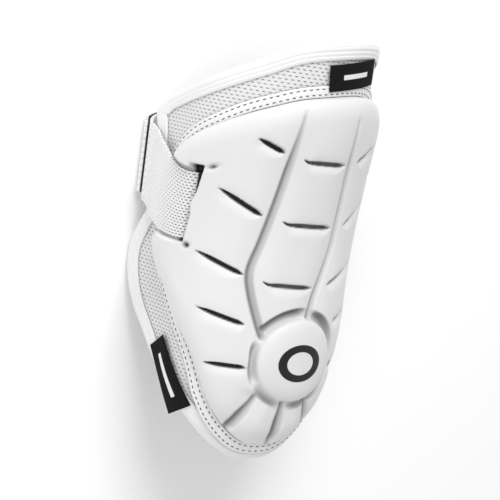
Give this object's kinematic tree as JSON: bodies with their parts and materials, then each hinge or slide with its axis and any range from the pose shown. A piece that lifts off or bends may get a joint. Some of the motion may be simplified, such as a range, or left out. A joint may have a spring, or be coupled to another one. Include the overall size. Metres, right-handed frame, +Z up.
{
  "type": "baseball elbow guard",
  "caption": "Batter's elbow guard: a ribbed moulded pad with a round elbow cap on a bound mesh liner, arched over the arm and closed by a wide elastic strap.",
  "frame": {"origin": "centre of the bounding box's bottom face, on the surface that the guard lies on", "axes": "+X across the arm, +Y along the arm toward the wide rim, +Z up through the pad"},
  "size_m": [0.1282, 0.2466, 0.1003],
  "materials": {
    "mesh_liner": "open air-mesh knit over thin foam",
    "binding_knit": "ribbed knit binding",
    "edge_tape_knit": "stitched ribbed tape",
    "moulded_pad": "satin moulded foam skin",
    "strap_elastic_loop_end": "woven elastic",
    "strap_elastic_hook_end": "woven elastic",
    "hook_fastener": "dense hook tape",
    "top_label_cloth": "woven label",
    "side_label_cloth": "woven label"
  },
  "bodies": {
    "root": {"liner": "mesh_liner", "binding": "binding_knit", "edge_tape": "edge_tape_knit", "pad": "moulded_pad", "strap_loop_side": "strap_elastic_loop_end", "strap_hook_side": "strap_elastic_hook_end", "hook_patch": "hook_fastener", "top_label": "top_label_cloth", "side_label": "side_label_cloth"}
  },
  "joints": []
}
